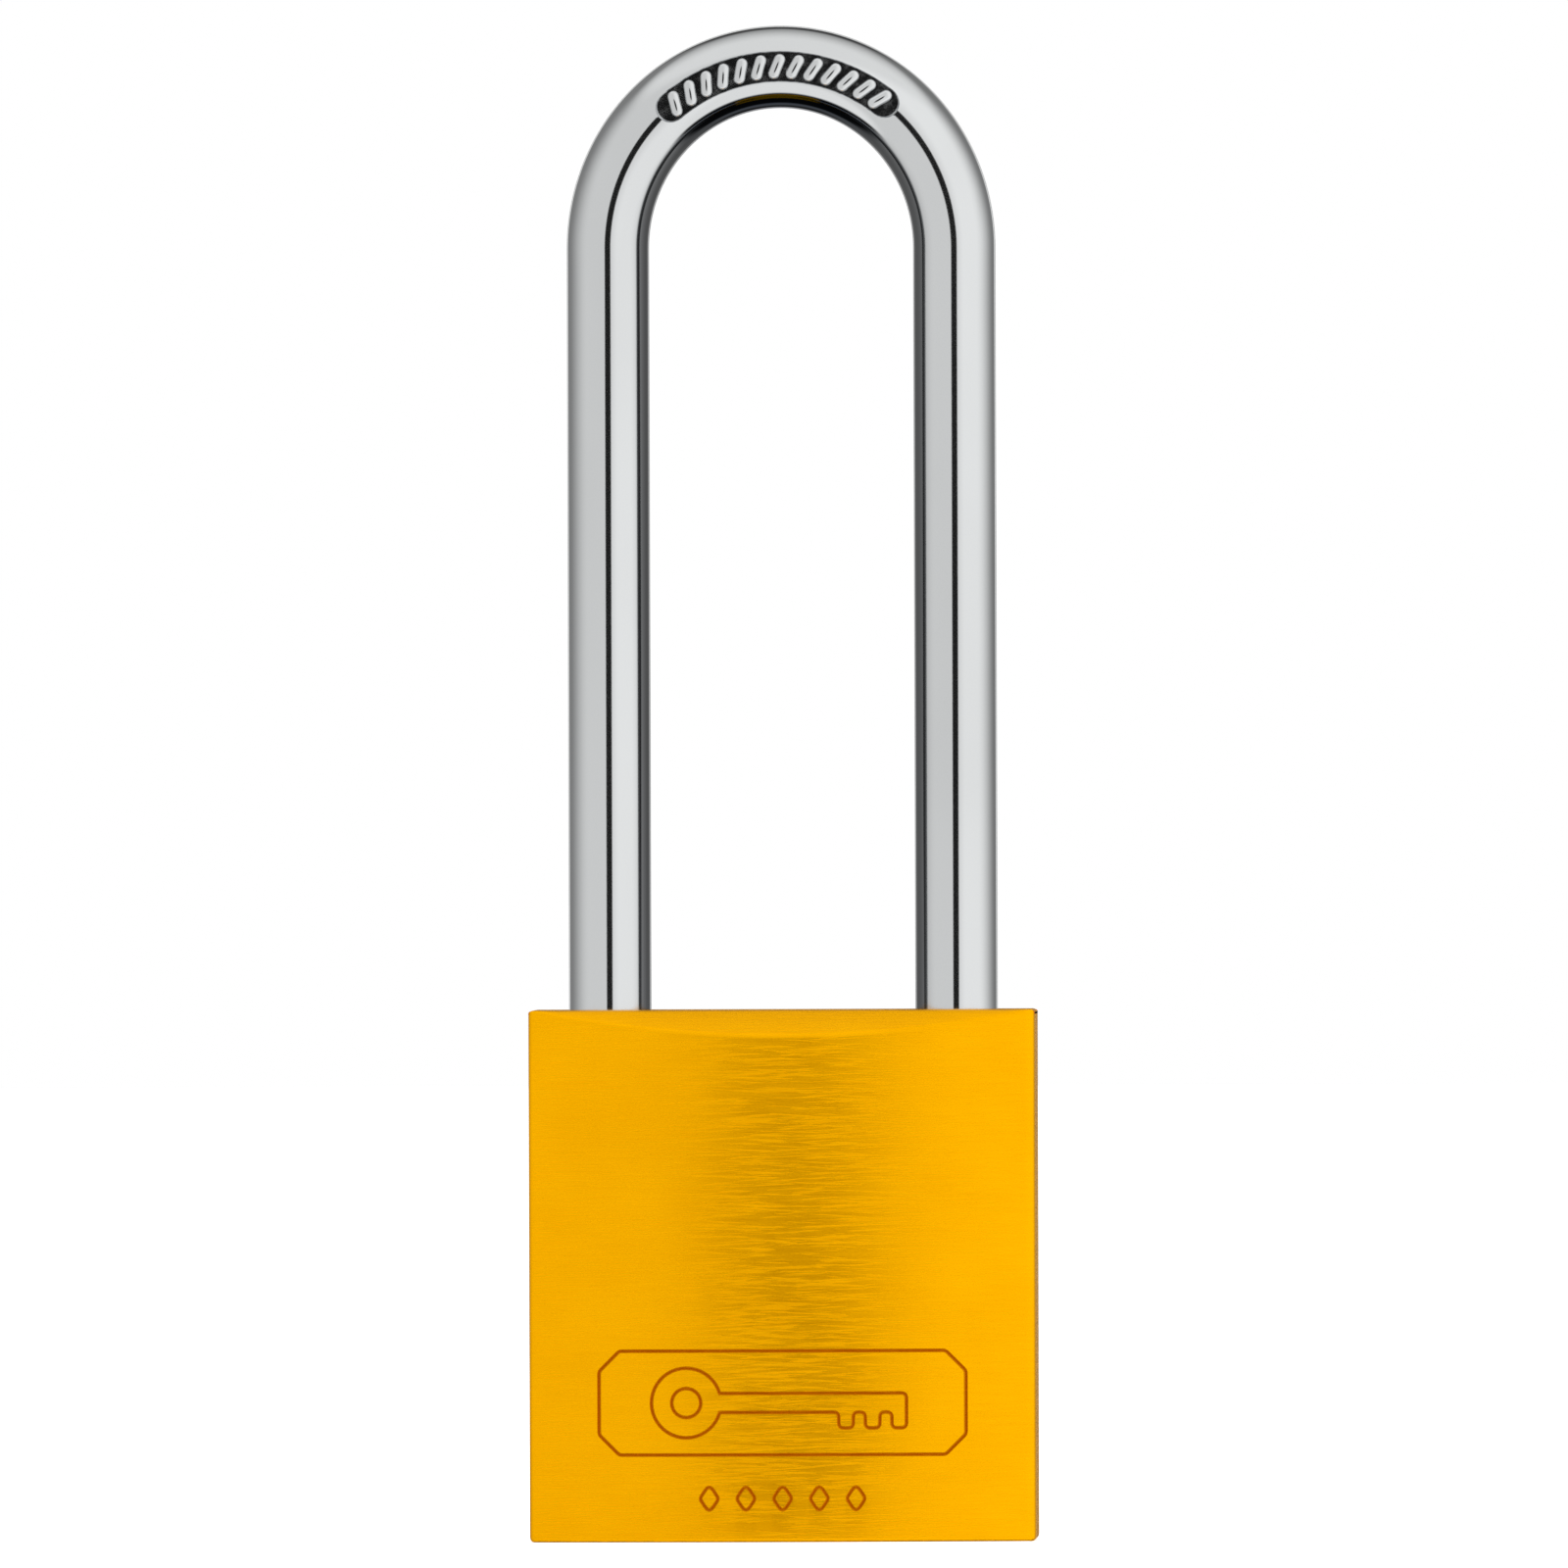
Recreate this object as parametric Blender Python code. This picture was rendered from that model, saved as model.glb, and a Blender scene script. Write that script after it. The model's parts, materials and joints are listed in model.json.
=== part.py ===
"""Safety padlock with a ball-locked steel shackle and a six-pin cylinder.

Frame: origin at the centre of the underside, +Z up, front face towards -Y, +X to the right.
The shackle's heel leg, which stays in the body and is turned on, is at -X; its toe leg is at +X.
Rest pose: shackle closed and plug turned to open, so both balls are drawn into the rotor.
"""

import math

import bmesh
import bpy
from mathutils import Vector

MM = 0.001

# Clearance between pieces that sit in or slide on each other, and how far a cutter runs past a face.
GAP = 0.2 * MM
OVERRUN = 1.0 * MM

# Flat sides around round shapes, by size.
LARGE_ROUND = 48
MEDIUM_ROUND = 36
SMALL_ROUND = 16

# Body: a bar whose front and back bulge, with a flat 45 degree slope along both top edges.
BODY_WIDTH = 40.0 * MM
BODY_DEPTH = 20.0 * MM
BODY_HEIGHT = 42.0 * MM
FACE_BULGE = 2.0 * MM
FOOT_BEVEL = 0.3 * MM
FACE_STEPS = 24

# Shackle: round wire on two straight legs joined by half an ellipse.
WIRE_RADIUS = 3.25 * MM
LEG_X = 13.7 * MM
SPRING_LINE_Z = 102.2 * MM
CROWN_RISE = 14.35 * MM
CROWN_STEPS = 36
WIRE_SIDES = 28
LEG_BORE_RADIUS = 3.5 * MM
HEEL_END_Z = 10.3 * MM
TOE_END_Z = 29.5 * MM
LEG_CHAMFER = 0.5 * MM

# Stamped recess on the front of the crown, a band along the wire with half-round ends.
RECESS_WIDTH = 2.5 * MM
RECESS_DEPTH = 0.4 * MM
RECESS_ANGLES = (math.radians(53.3), math.radians(128.7))
RECESS_STEPS = 16
RECESS_ROUND_STEPS = 6

# Locking balls, the rotor that holds them out, and the channel that they move in.
BALL_Z = 35.0 * MM
BALL_RADIUS = 3.0 * MM
BALL_OPEN_X = 7.2 * MM
BALL_TRAVEL = 1.5 * MM
BALL_CHANNEL_RADIUS = 3.15 * MM
BALL_NOTCH_RADIUS = 3.3 * MM
BALL_NOTCH_SIDES = (24, 14)
ROTOR_RADIUS = 5.9 * MM
ROTOR_BORE_RADIUS = 6.2 * MM
ROTOR_BOTTOM_Z = 25.3 * MM
ROTOR_CAM_Z = 31.7 * MM
ROTOR_TOP_Z = 38.7 * MM
ROTOR_BORE_TOP_Z = 39.0 * MM
ROTOR_STEPS = 72
CAM_CLEARANCE = 0.12 * MM
CAM_SAMPLES = 45
PLUG_TURN = math.radians(90)

# Heel leg: a long turned neck lets the shackle rise and swing past its retaining pin.
RETAINING_PIN_Z = 27.5 * MM
RETAINING_PIN_RADIUS = 1.0 * MM
RETAINING_PIN_INNER_X = -6.4 * MM
RETAINING_PIN_OUTER_X = -11.4 * MM
RETAINING_PIN_CHAMFER = 0.25 * MM
NECK_RADIUS = 1.9 * MM
NECK_TOP_Z = 28.9 * MM
NECK_BOTTOM_Z = 13.3 * MM

# Heel bore, with the spring and the cap that the heel leg stands on.
HEEL_BORE_FLOOR_Z = 3.0 * MM
SPRING_CAP_RADIUS = 3.15 * MM
SPRING_CAP_BOTTOM_Z = 8.7 * MM
SPRING_CAP_TOP_Z = 10.0 * MM
SPRING_CAP_BOSS_RADIUS = 1.8 * MM
SPRING_CAP_BOSS_DEPTH = 1.2 * MM
SPRING_COIL_RADIUS = 2.5 * MM
SPRING_WIRE_RADIUS = 0.35 * MM
SPRING_TURNS = 5
SPRING_STEPS = 16

# Toe bore, with the screw in its floor that holds the cylinder.
TOE_BORE_FLOOR_Z = 28.8 * MM
SCREW_HEAD_RADIUS = 2.3 * MM
SCREW_SHANK_RADIUS = 1.1 * MM
SCREW_HEAD_BOTTOM_Z = 27.2 * MM
SCREW_HEAD_TOP_Z = 28.6 * MM
SCREW_TIP_Z = 22.2 * MM
SCREW_SLOT_WIDTH = 0.7 * MM
SCREW_CHAMFER = 0.3 * MM

# Cylinder: a round barrel with a tower towards +X for the driver pins.
BARREL_RADIUS = 7.5 * MM
BARREL_BOTTOM_Z = 0.4 * MM
BARREL_TOP_Z = 22.9 * MM
TOWER_OUTER_X = 16.2 * MM
TOWER_HALF_WIDTH = 3.5 * MM
TOWER_TOP_Z = 24.7 * MM
CAVITY_TOP_Z = 25.0 * MM
PLUG_RADIUS = 5.5 * MM
PLUG_HEAD_RADIUS = 6.3 * MM
PLUG_HEAD_BOTTOM_Z = 0.6 * MM
PLUG_HEAD_TOP_Z = 1.9 * MM
PLUG_TOP_Z = 24.3 * MM
CLIP_GROOVE_RADIUS = 4.6 * MM
CLIP_GROOVE_Z = (23.15 * MM, 23.95 * MM)
CLIP_Z = (23.3 * MM, 23.8 * MM)
CLIP_RADII = (4.75 * MM, 6.8 * MM)
CLIP_GAP_ANGLE = math.radians(70)
CLIP_STEPS = 24
TANG_TOP_Z = 29.0 * MM
TANG_LENGTH = 7.6 * MM
TANG_THICKNESS = 2.4 * MM
KEYWAY_TOP_Z = 22.6 * MM

# Pin stacks: with the plug turned to open, key pins point along +Y and driver pins along +X.
PIN_COUNT = 6
FIRST_PIN_Z = 4.2 * MM
PIN_PITCH = 3.2 * MM
PIN_RADIUS = 1.15 * MM
PIN_CHAMFER = 0.15 * MM
KEY_PIN_TIP = 0.45 * MM
KEY_PIN_TIP_RADIUS = 0.475 * MM
CHAMBER_RADIUS = 1.3 * MM
CHAMBER_FLOOR = 0.8 * MM
KEY_PIN_OUTER = 5.4 * MM
KEY_PIN_LENGTHS = [2.4 * MM, 3.4 * MM, 2.9 * MM, 3.9 * MM, 2.6 * MM, 3.2 * MM]
DRIVER_PIN_INNER_X = 5.75 * MM
DRIVER_PIN_LENGTH = 4.0 * MM
COVER_X = (15.35 * MM, 16.0 * MM)
COVER_Z = (1.4 * MM, 21.5 * MM)
COVER_HALF_WIDTH = 1.45 * MM
COVER_GROOVE_X = 15.2 * MM
PIN_SPRING_RADIUS = 0.85 * MM
PIN_SPRING_WIRE_RADIUS = 0.13 * MM
PIN_SPRING_TURNS = 4
PIN_SPRING_STEPS = 10
SPRING_END_GAP = 0.1 * MM


def clear_scene():
    for old in list(bpy.data.objects):
        bpy.data.objects.remove(old, do_unlink=True)


def make_material(name, colour, roughness, metallic):
    material = bpy.data.materials.new(name)
    material.use_nodes = True
    shader = material.node_tree.nodes["Principled BSDF"]
    shader.inputs["Base Color"].default_value = (*colour, 1.0)
    shader.inputs["Roughness"].default_value = roughness
    shader.inputs["Metallic"].default_value = metallic
    return material


def add_object(name, data, origin=(0, 0, 0), rotation=(0, 0, 0), material=None):
    item = bpy.data.objects.new(name, data)
    item.location = origin
    item.rotation_euler = rotation
    if material:
        data.materials.append(material)
    bpy.context.scene.collection.objects.link(item)
    return item


def finish_mesh(name, bm, smooth_angle=math.radians(30)):
    """Write a bmesh to a new mesh with outward faces and smooth round sides."""
    bmesh.ops.remove_doubles(bm, verts=bm.verts, dist=1e-7)
    bmesh.ops.recalc_face_normals(bm, faces=bm.faces)
    mesh = bpy.data.meshes.new(name)
    bm.to_mesh(mesh)
    bm.free()
    mesh.shade_smooth()
    mesh.set_sharp_from_angle(angle=smooth_angle)
    return mesh


def circle(radius, steps, centre=(0, 0)):
    turns = [2 * math.pi * i / steps for i in range(steps)]
    return [(centre[0] + radius * math.cos(a), centre[1] + radius * math.sin(a)) for a in turns]


def prism_mesh(name, outline, bottom, top):
    """Closed prism over an outline of (x, y) points, from height bottom to height top."""
    bm = bmesh.new()
    base = bm.faces.new([bm.verts.new((x, y, bottom)) for x, y in outline])
    grown = bmesh.ops.extrude_face_region(bm, geom=[base])
    risen = [v for v in grown["geom"] if isinstance(v, bmesh.types.BMVert)]
    bmesh.ops.translate(bm, verts=risen, vec=(0, 0, top - bottom))
    return finish_mesh(name, bm)


def turned_mesh(name, profile, steps):
    """Solid of revolution about Z, from (radius, height) points that start and end on the axis."""
    bm = bmesh.new()
    points = [bm.verts.new((radius, 0, height)) for radius, height in profile]
    edges = [bm.edges.new(pair) for pair in zip(points, points[1:])]
    bmesh.ops.spin(
        bm, geom=points + edges, cent=(0, 0, 0), axis=(0, 0, 1), angle=2 * math.pi, steps=steps,
        use_merge=True,
    )
    bmesh.ops.remove_doubles(bm, verts=bm.verts, dist=1e-7)
    return finish_mesh(name, bm)


def box_mesh(name, low, high):
    outline = [(low[0], low[1]), (high[0], low[1]), (high[0], high[1]), (low[0], high[1])]
    return prism_mesh(name, outline, low[2], high[2])


def add_cutter(name, mesh, origin=(0, 0, 0), rotation=(0, 0, 0)):
    cutter = add_object(name, mesh, origin, rotation)
    cutter.hide_render = True
    cutter.display_type = "WIRE"
    return cutter


def combine(target, other, operation):
    step = target.modifiers.new(f"{operation.lower()} {other.name}", "BOOLEAN")
    step.operation = operation
    step.solver = "EXACT"
    step.object = other


def cut_round(target, name, radius, low, high, steps, centre=(0, 0)):
    """Drill a vertical hole of the given radius between two heights."""
    mesh = prism_mesh(name, circle(radius, steps, centre), low, high)
    combine(target, add_cutter(name, mesh), "DIFFERENCE")


def cut_round_along(target, name, radius, start, end, steps):
    """Drill a hole between two points that are not on one vertical."""
    reach = Vector(end) - Vector(start)
    mesh = prism_mesh(name, circle(radius, steps), 0, reach.length)
    turn = reach.to_track_quat("Z", "Y").to_euler()
    combine(target, add_cutter(name, mesh, start, turn), "DIFFERENCE")


def cut_box(target, name, low, high):
    combine(target, add_cutter(name, box_mesh(name, low, high)), "DIFFERENCE")


# ---------------------------------------------------------------- body


def body_outline(inset):
    """Plan outline with both long faces bulging as flat arcs, moved inwards by inset."""
    half_width = BODY_WIDTH / 2 - inset
    corner_y = BODY_DEPTH / 2 - FACE_BULGE
    radius = (BODY_WIDTH ** 2 / 4 + FACE_BULGE ** 2) / (2 * FACE_BULGE)
    front = []
    for i in range(FACE_STEPS + 1):
        x = half_width * (2 * i / FACE_STEPS - 1)
        bulge = math.sqrt(radius ** 2 - x ** 2) - (radius - FACE_BULGE)
        front.append((x, -(corner_y + bulge - inset)))
    back = [(-x, -y) for x, y in front]
    return front + back


def body_mesh():
    bm = bmesh.new()
    rings = [(FOOT_BEVEL, 0.0), (0.0, FOOT_BEVEL), (0.0, BODY_HEIGHT)]
    loops = [[bm.verts.new((x, y, z)) for x, y in body_outline(inset)] for inset, z in rings]
    for lower, upper in zip(loops, loops[1:]):
        for i, start in enumerate(lower):
            j = (i + 1) % len(lower)
            bm.faces.new((start, lower[j], upper[j], upper[i]))
    bm.faces.new(loops[0][::-1])
    bm.faces.new(loops[-1])
    corner_y = BODY_DEPTH / 2 - FACE_BULGE
    for side in (-1, 1):
        geometry = bm.verts[:] + bm.edges[:] + bm.faces[:]
        edge_point = (0, side * corner_y, BODY_HEIGHT)
        bmesh.ops.bisect_plane(
            bm, geom=geometry, dist=1e-6, plane_co=edge_point, plane_no=(0, side, 1), clear_outer=True,
        )
        bmesh.ops.holes_fill(bm, edges=bm.edges)
    return finish_mesh("lock_body", bm, math.radians(20))


def make_body(material):
    body = add_object("lock_body", body_mesh(), material=material)
    above = BODY_HEIGHT + OVERRUN
    toe = (LEG_X, 0)
    cut_round(body, "heel_bore", LEG_BORE_RADIUS, HEEL_BORE_FLOOR_Z, above, MEDIUM_ROUND, (-LEG_X, 0))
    cut_round(body, "toe_bore", LEG_BORE_RADIUS, TOE_BORE_FLOOR_Z, above, MEDIUM_ROUND, toe)
    pocket_z = SCREW_HEAD_BOTTOM_Z - GAP
    cut_round(body, "screw_pocket", SCREW_HEAD_RADIUS + GAP, pocket_z, above, MEDIUM_ROUND, toe)
    cut_round(body, "screw_hole", SCREW_SHANK_RADIUS + 2 * GAP, 0, above, SMALL_ROUND, toe)
    cut_round(body, "rotor_bore", ROTOR_BORE_RADIUS, 0, ROTOR_BORE_TOP_Z, LARGE_ROUND)
    cut_round(body, "barrel_cavity", BARREL_RADIUS + GAP, -OVERRUN, CAVITY_TOP_Z, LARGE_ROUND)
    half_width = TOWER_HALF_WIDTH + GAP
    low = (0, -half_width, -OVERRUN)
    cut_box(body, "tower_cavity", low, (TOWER_OUTER_X + GAP, half_width, CAVITY_TOP_Z))
    channel = [(-LEG_X, 0, BALL_Z), (LEG_X, 0, BALL_Z)]
    cut_round_along(body, "ball_channel", BALL_CHANNEL_RADIUS, *channel, MEDIUM_ROUND)
    pin_hole = [(0, 0, RETAINING_PIN_Z), (-LEG_X, 0, RETAINING_PIN_Z)]
    cut_round_along(body, "pin_hole", RETAINING_PIN_RADIUS + GAP, *pin_hole, SMALL_ROUND)
    return body


# ---------------------------------------------------------------- shackle


def crown_point(angle, offset=0.0):
    """Point in the shackle's plane beside the half ellipse; angle runs from toe to heel."""
    x = LEG_X * math.cos(angle)
    z = CROWN_RISE * math.sin(angle)
    outward = Vector((x / LEG_X ** 2, 0, z / CROWN_RISE ** 2)).normalized()
    return Vector((x, 0, SPRING_LINE_Z + z)) + outward * offset


def shackle_stations():
    """Centre, direction and radius of each ring of the wire, from the toe end to the heel end."""
    up = Vector((0, 0, 1))
    stations = []
    for z, radius in ((TOE_END_Z, WIRE_RADIUS - LEG_CHAMFER), (TOE_END_Z + LEG_CHAMFER, WIRE_RADIUS)):
        stations.append((Vector((LEG_X, 0, z)), up, radius))
    for i in range(CROWN_STEPS + 1):
        angle = math.pi * i / CROWN_STEPS
        along = Vector((-LEG_X * math.sin(angle), 0, CROWN_RISE * math.cos(angle))).normalized()
        stations.append((crown_point(angle), along, WIRE_RADIUS))
    heel = [
        (NECK_TOP_Z + LEG_CHAMFER, WIRE_RADIUS),
        (NECK_TOP_Z, NECK_RADIUS),
        (NECK_BOTTOM_Z, NECK_RADIUS),
        (NECK_BOTTOM_Z, WIRE_RADIUS),
        (HEEL_END_Z + LEG_CHAMFER, WIRE_RADIUS),
        (HEEL_END_Z, WIRE_RADIUS - LEG_CHAMFER),
    ]
    stations += [(Vector((-LEG_X, 0, z)), -up, radius) for z, radius in heel]
    return stations


def shackle_mesh(origin):
    bm = bmesh.new()
    across = Vector((0, 1, 0))
    loops = []
    for centre, along, radius in shackle_stations():
        side = along.cross(across)
        ring = [side * x + across * y for x, y in circle(radius, WIRE_SIDES)]
        loops.append([bm.verts.new(centre - origin + step) for step in ring])
    for lower, upper in zip(loops, loops[1:]):
        for i, start in enumerate(lower):
            j = (i + 1) % WIRE_SIDES
            bm.faces.new((start, lower[j], upper[j], upper[i]))
    bm.faces.new(loops[0])
    bm.faces.new(loops[-1])
    return finish_mesh("shackle", bm)


def recess_outline():
    """Band along the crown's centre line with half-round ends, as (x, z) points."""
    half_width = RECESS_WIDTH / 2
    low_angle, high_angle = RECESS_ANGLES
    sweep = high_angle - low_angle
    angles = [low_angle + sweep * i / RECESS_STEPS for i in range(RECESS_STEPS + 1)]
    outer = [crown_point(a, half_width) for a in angles]
    inner = [crown_point(a, -half_width) for a in reversed(angles)]
    ends = []
    for angle, first in ((high_angle, outer[-1]), (low_angle, inner[-1])):
        centre = crown_point(angle)
        arm = first - centre
        turns = [-math.pi * i / RECESS_ROUND_STEPS for i in range(1, RECESS_ROUND_STEPS)]
        ends.append([centre + turn_in_plane(arm, a) for a in turns])
    points = outer + ends[0] + inner + ends[1]
    return [(p.x, p.z) for p in points]


def turn_in_plane(arm, angle):
    """Turn a vector in the XZ plane about Y, from +Z towards +X for a positive angle."""
    c, s = math.cos(angle), math.sin(angle)
    return Vector((arm.x * c + arm.z * s, 0, arm.z * c - arm.x * s))


def make_shackle(material):
    origin = Vector((-LEG_X, 0, BODY_HEIGHT))
    shackle = add_object("shackle", shackle_mesh(origin), origin, material=material)
    around, along = BALL_NOTCH_SIDES
    for side in (-1, 1):
        mesh = bpy.data.meshes.new("ball_notch")
        bm = bmesh.new()
        bmesh.ops.create_uvsphere(bm, u_segments=around, v_segments=along, radius=BALL_NOTCH_RADIUS)
        bm.to_mesh(mesh)
        bm.free()
        centre = (side * (BALL_OPEN_X + BALL_TRAVEL), 0, BALL_Z)
        combine(shackle, add_cutter("ball_notch", mesh, centre), "DIFFERENCE")
    floor = WIRE_RADIUS - RECESS_DEPTH
    mesh = prism_mesh("stamped_recess", recess_outline(), floor, WIRE_RADIUS + OVERRUN)
    recess = add_cutter("stamped_recess", mesh, rotation=(math.pi / 2, 0, 0))
    combine(shackle, recess, "DIFFERENCE")
    return shackle


def make_retaining_pin(material):
    length = RETAINING_PIN_INNER_X - RETAINING_PIN_OUTER_X
    chamfer = RETAINING_PIN_CHAMFER
    radius = RETAINING_PIN_RADIUS
    profile = [
        (0, 0), (radius - chamfer, 0), (radius, chamfer),
        (radius, length - chamfer), (radius - chamfer, length), (0, length),
    ]
    start = (RETAINING_PIN_OUTER_X, 0, RETAINING_PIN_Z)
    mesh = turned_mesh("shackle_retaining_pin", profile, SMALL_ROUND)
    return add_object("shackle_retaining_pin", mesh, start, (0, math.pi / 2, 0), material)


def make_spring_cap(material):
    """Disc under the heel leg, with a boss that centres it in the spring."""
    height = SPRING_CAP_TOP_Z - SPRING_CAP_BOTTOM_Z
    boss = SPRING_CAP_BOSS_RADIUS
    profile = [
        (0, -SPRING_CAP_BOSS_DEPTH), (boss, -SPRING_CAP_BOSS_DEPTH), (boss, 0), (SPRING_CAP_RADIUS, 0),
        (SPRING_CAP_RADIUS, height), (0, height),
    ]
    mesh = turned_mesh("spring_cap", profile, MEDIUM_ROUND)
    return add_object("spring_cap", mesh, (-LEG_X, 0, SPRING_CAP_BOTTOM_Z), material=material)


def make_shackle_spring(material):
    low = HEEL_BORE_FLOOR_Z + SPRING_WIRE_RADIUS + GAP
    height = SPRING_CAP_BOTTOM_Z - SPRING_WIRE_RADIUS - GAP - low
    size = (SPRING_COIL_RADIUS, SPRING_WIRE_RADIUS, height)
    curve = coil_curve("shackle_spring", *size, SPRING_TURNS, SPRING_STEPS, 1)
    return add_object("shackle_spring", curve, (-LEG_X, 0, low), material=material)


def coil_curve(name, radius, wire_radius, height, turns, steps, roundness):
    """Helical wire along Z, from height 0, with closed ends."""
    curve = bpy.data.curves.new(name, "CURVE")
    curve.dimensions = "3D"
    curve.bevel_depth = wire_radius
    curve.bevel_resolution = roundness
    curve.use_fill_caps = True
    line = curve.splines.new("POLY")
    line.points.add(turns * steps)
    for i, point in enumerate(line.points):
        angle = 2 * math.pi * i / steps
        rise = height * i / (turns * steps)
        point.co = (radius * math.cos(angle), radius * math.sin(angle), rise, 1)
    return curve


# ---------------------------------------------------------------- ball mechanism


def cam_radius(angle):
    """Rotor radius that just clears a ball moving out evenly while the rotor makes its turn."""
    reach = BALL_RADIUS + CAM_CLEARANCE
    smallest = ROTOR_RADIUS
    for lobe in (0, math.pi):
        for i in range(CAM_SAMPLES + 1):
            share = i / CAM_SAMPLES
            centre_angle = lobe + share * PLUG_TURN
            distance = BALL_OPEN_X + share * BALL_TRAVEL
            across = distance * math.sin(angle - centre_angle)
            along = distance * math.cos(angle - centre_angle)
            if along > 0 and abs(across) < reach:
                smallest = min(smallest, along - math.sqrt(reach ** 2 - across ** 2))
    return smallest


def make_rotor(material):
    angles = [2 * math.pi * i / ROTOR_STEPS for i in range(ROTOR_STEPS)]
    cam = [(cam_radius(a) * math.cos(a), cam_radius(a) * math.sin(a)) for a in angles]
    bm = bmesh.new()
    levels = [
        (circle(ROTOR_RADIUS, ROTOR_STEPS), ROTOR_BOTTOM_Z),
        (circle(ROTOR_RADIUS, ROTOR_STEPS), ROTOR_CAM_Z),
        (cam, ROTOR_CAM_Z),
        (cam, ROTOR_TOP_Z),
    ]
    loops = [[bm.verts.new((x, y, z)) for x, y in outline] for outline, z in levels]
    for lower, upper in zip(loops, loops[1:]):
        for i, start in enumerate(lower):
            j = (i + 1) % ROTOR_STEPS
            bm.faces.new((start, lower[j], upper[j], upper[i]))
    bm.faces.new(loops[0][::-1])
    bm.faces.new(loops[-1])
    rotor = add_object("ball_rotor", finish_mesh("ball_rotor", bm), material=material)
    half_length = TANG_LENGTH / 2 + GAP
    half_width = TANG_THICKNESS / 2 + GAP
    low = (-half_width, -half_length, ROTOR_BOTTOM_Z - OVERRUN)
    cut_box(rotor, "tang_slot", low, (half_width, half_length, TANG_TOP_Z + 2 * GAP))
    return rotor


def make_balls(material):
    for name, side in (("ball_left", -1), ("ball_right", 1)):
        mesh = bpy.data.meshes.new(name)
        bm = bmesh.new()
        bmesh.ops.create_icosphere(bm, subdivisions=3, radius=BALL_RADIUS)
        bm.to_mesh(mesh)
        bm.free()
        mesh.shade_smooth()
        add_object(name, mesh, (side * BALL_OPEN_X, 0, BALL_Z), material=material)


# ---------------------------------------------------------------- cylinder


def pin_heights():
    return [FIRST_PIN_Z + PIN_PITCH * i for i in range(PIN_COUNT)]


def make_shell(material):
    barrel = prism_mesh("cylinder_shell", circle(BARREL_RADIUS, LARGE_ROUND), BARREL_BOTTOM_Z, BARREL_TOP_Z)
    shell = add_object("cylinder_shell", barrel, material=material)
    low = (PLUG_RADIUS - OVERRUN, -TOWER_HALF_WIDTH, BARREL_BOTTOM_Z)
    high = (TOWER_OUTER_X, TOWER_HALF_WIDTH, TOWER_TOP_Z)
    combine(shell, add_cutter("tower", box_mesh("tower", low, high)), "UNION")
    cut_round(shell, "plug_bore", PLUG_RADIUS + GAP, -OVERRUN, BARREL_TOP_Z + OVERRUN, LARGE_ROUND)
    head_radius = PLUG_HEAD_RADIUS + GAP
    cut_round(shell, "head_counterbore", head_radius, -OVERRUN, PLUG_HEAD_TOP_Z + GAP, LARGE_ROUND)
    above = TOWER_TOP_Z + OVERRUN
    cut_round(shell, "clip_recess", BARREL_RADIUS - GAP, BARREL_TOP_Z, above, LARGE_ROUND)
    for number, z in enumerate(pin_heights(), 1):
        ends = [(0, 0, z), (TOWER_OUTER_X + OVERRUN, 0, z)]
        cut_round_along(shell, f"driver_chamber_{number}", CHAMBER_RADIUS, *ends, SMALL_ROUND)
    half_width = COVER_HALF_WIDTH + GAP
    low = (COVER_GROOVE_X, -half_width, COVER_Z[0] - GAP)
    cut_box(shell, "cover_groove", low, (TOWER_OUTER_X + OVERRUN, half_width, COVER_Z[1] + GAP))
    thread_radius = SCREW_SHANK_RADIUS + GAP
    cut_round(shell, "screw_thread", thread_radius, SCREW_TIP_Z - GAP, above, SMALL_ROUND, (LEG_X, 0))
    return shell


def keyway_outline():
    """Warded slot: two halves of the blade stepped sideways around a centre rib."""
    return [
        (-1.15 * MM, -4.7 * MM), (0.55 * MM, -4.7 * MM), (0.55 * MM, -2.6 * MM), (1.15 * MM, -2.2 * MM),
        (1.15 * MM, -0.4 * MM), (0.6 * MM, 0.0), (0.6 * MM, 3.4 * MM), (-0.6 * MM, 3.4 * MM),
        (-0.6 * MM, -1.0 * MM), (-0.15 * MM, -1.4 * MM), (-0.15 * MM, -2.4 * MM), (-1.15 * MM, -3.0 * MM),
    ]


def make_plug(material):
    profile = [
        (0, PLUG_HEAD_BOTTOM_Z), (PLUG_HEAD_RADIUS, PLUG_HEAD_BOTTOM_Z),
        (PLUG_HEAD_RADIUS, PLUG_HEAD_TOP_Z), (PLUG_RADIUS, PLUG_HEAD_TOP_Z),
        (PLUG_RADIUS, CLIP_GROOVE_Z[0]), (CLIP_GROOVE_RADIUS, CLIP_GROOVE_Z[0]),
        (CLIP_GROOVE_RADIUS, CLIP_GROOVE_Z[1]), (PLUG_RADIUS, CLIP_GROOVE_Z[1]),
        (PLUG_RADIUS, PLUG_TOP_Z), (0, PLUG_TOP_Z),
    ]
    mesh = turned_mesh("cylinder_plug", profile, LARGE_ROUND)
    plug = add_object("cylinder_plug", mesh, material=material)
    half_length = TANG_LENGTH / 2
    half_width = TANG_THICKNESS / 2
    low = (-half_width, -half_length, PLUG_TOP_Z - OVERRUN)
    tang = add_cutter("tang", box_mesh("tang", low, (half_width, half_length, TANG_TOP_Z)))
    combine(plug, tang, "UNION")
    keyway = prism_mesh("keyway", keyway_outline(), -OVERRUN, KEYWAY_TOP_Z)
    combine(plug, add_cutter("keyway", keyway), "DIFFERENCE")
    for number, z in enumerate(pin_heights(), 1):
        ends = [(0, CHAMBER_FLOOR, z), (0, PLUG_RADIUS + OVERRUN, z)]
        cut_round_along(plug, f"key_chamber_{number}", CHAMBER_RADIUS, *ends, SMALL_ROUND)
    return plug


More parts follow.
